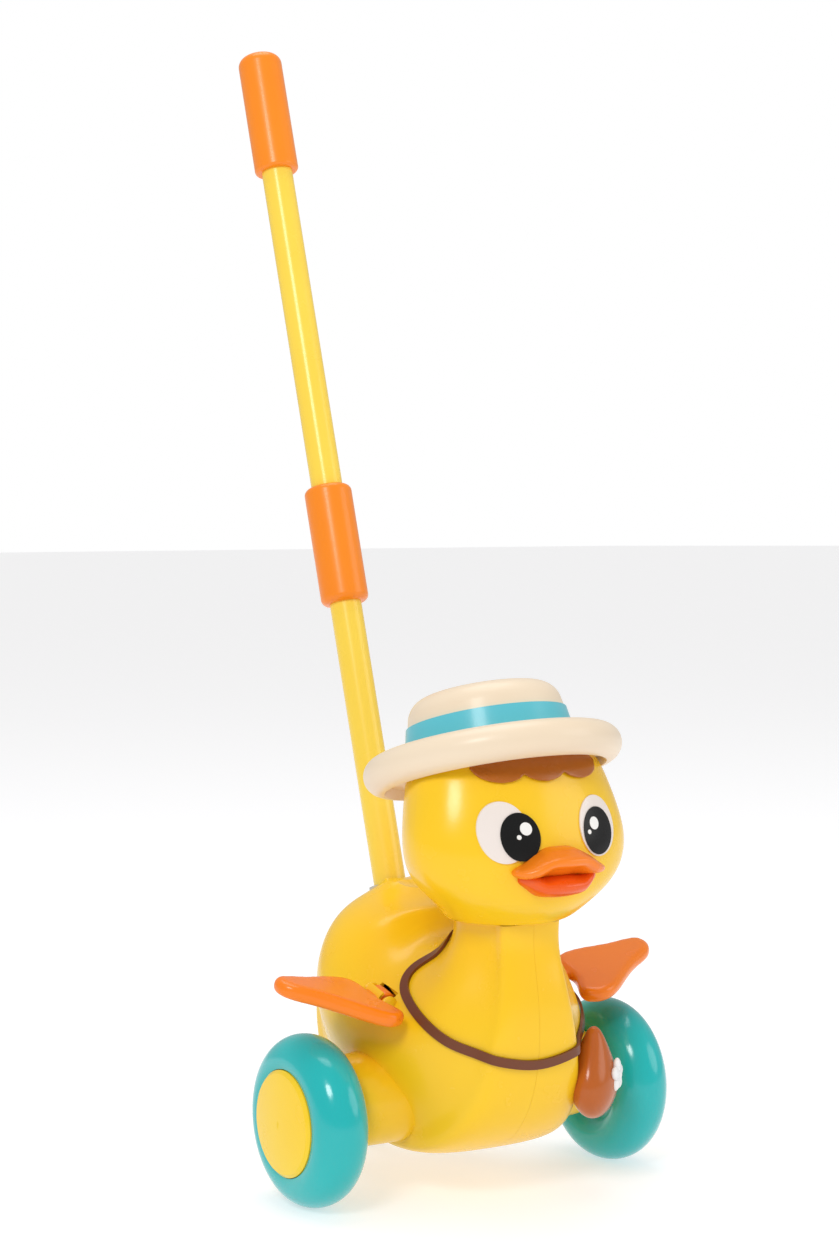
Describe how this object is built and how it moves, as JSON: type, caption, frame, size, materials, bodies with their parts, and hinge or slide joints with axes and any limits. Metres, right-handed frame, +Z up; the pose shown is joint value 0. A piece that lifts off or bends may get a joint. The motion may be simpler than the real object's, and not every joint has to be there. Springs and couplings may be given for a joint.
{
  "type": "push-along duck toy",
  "caption": "Push-along duck toy on two wheels with a long upright handle, flapping wings, a turning head with a brimmed hat, and a small satchel.",
  "frame": {"origin": "centre of the whole toy's box, on the floor", "axes": "+Z up, the duck looks along -Y, +X is the duck's left side"},
  "size_m": [0.2208, 0.3174, 0.5922],
  "materials": {
    "yellow_plastic": "glossy",
    "handle_plastic": "glossy",
    "orange_plastic": "glossy",
    "grip_plastic": "satin",
    "tyre_plastic": "satin",
    "hat_plastic": "satin",
    "band_plastic": "glossy",
    "fringe_plastic": "glossy",
    "strap_plastic": "satin",
    "bag_plastic": "glossy",
    "white_plastic": "glossy",
    "black_plastic": "glossy",
    "inner_plastic": "moulded",
    "steel": "plain"
  },
  "bodies": {
    "base": {"body_shell_left": "yellow_plastic", "body_shell_right": "yellow_plastic", "body_screws": "steel", "axle_housing_left": "yellow_plastic", "axle_housing_right": "yellow_plastic", "axle_bush_left": "inner_plastic", "axle_bush_right": "inner_plastic", "wing_pin_left": "steel", "wing_pin_right": "steel", "guide_bridge": "inner_plastic", "guide_screws": "steel", "handle_socket": "inner_plastic", "handle_pin": "steel", "lower_tube": "handle_plastic", "tube_coupler": "grip_plastic", "upper_tube": "handle_plastic", "hand_grip": "grip_plastic", "rear_bracket": "yellow_plastic", "rear_pin": "steel", "neck_post": "inner_plastic", "neck_washer": "inner_plastic", "neck_screw": "steel", "strap": "strap_plastic", "bag": "bag_plastic", "bag_button": "white_plastic"},
    "wheels": {"crank_axle": "steel", "wheel_carrier_left": "inner_plastic", "wheel_carrier_right": "inner_plastic", "wheel_tyre_left": "tyre_plastic", "wheel_tyre_right": "tyre_plastic", "wheel_cap_left": "yellow_plastic", "wheel_cap_right": "yellow_plastic"},
    "lifter": {"lifter": "inner_plastic"},
    "wing_left": {"wing_left": "orange_plastic"},
    "wing_right": {"wing_right": "orange_plastic"},
    "head": {"head_base": "inner_plastic", "head_shell": "yellow_plastic", "hat": "hat_plastic", "hat_band": "band_plastic", "fringe": "fringe_plastic", "eye_white_left": "white_plastic", "eye_white_right": "white_plastic", "pupil_left": "black_plastic", "pupil_right": "black_plastic", "glints_left": "white_plastic", "glints_right": "white_plastic", "beak_upper": "orange_plastic", "beak_lower": "orange_plastic"},
    "rear_roller": {"rear_roller": "tyre_plastic"}
  },
  "joints": [
    {"name": "wheels_spin", "type": "hinge", "parent": "base", "child": "wheels", "pos_m": [0, -0.06217, 0.042], "axis": [1, 0, 0], "continuous": true},
    {"name": "lifter_slide", "type": "slide", "parent": "base", "child": "lifter", "axis": [0, 0, 1], "range_m": [-0.00354, 0.00404]},
    {"name": "wing_left_flap", "type": "hinge", "parent": "base", "child": "wing_left", "pos_m": [0.05, -0.06552, 0.09905], "axis": [0, 0.9659, 0.2588], "range_deg": [-14, 16]},
    {"name": "wing_right_flap", "type": "hinge", "parent": "base", "child": "wing_right", "pos_m": [-0.05, -0.06552, 0.09905], "axis": [0, 0.9659, 0.2588], "range_deg": [-16, 14]},
    {"name": "head_swivel", "type": "hinge", "parent": "base", "child": "head", "pos_m": [0, -0.10017, 0.139], "axis": [0, 0, 1], "range_deg": [-20, 20]},
    {"name": "roller_spin", "type": "hinge", "parent": "base", "child": "rear_roller", "pos_m": [0, 0.04183, 0.011], "axis": [1, 0, 0], "continuous": true}
  ],
  "couplings": [
    {"joint": "wing_left_flap", "follows": "lifter_slide", "rad_per_m": 68.995},
    {"joint": "wing_right_flap", "follows": "lifter_slide", "rad_per_m": -68.995}
  ]
}
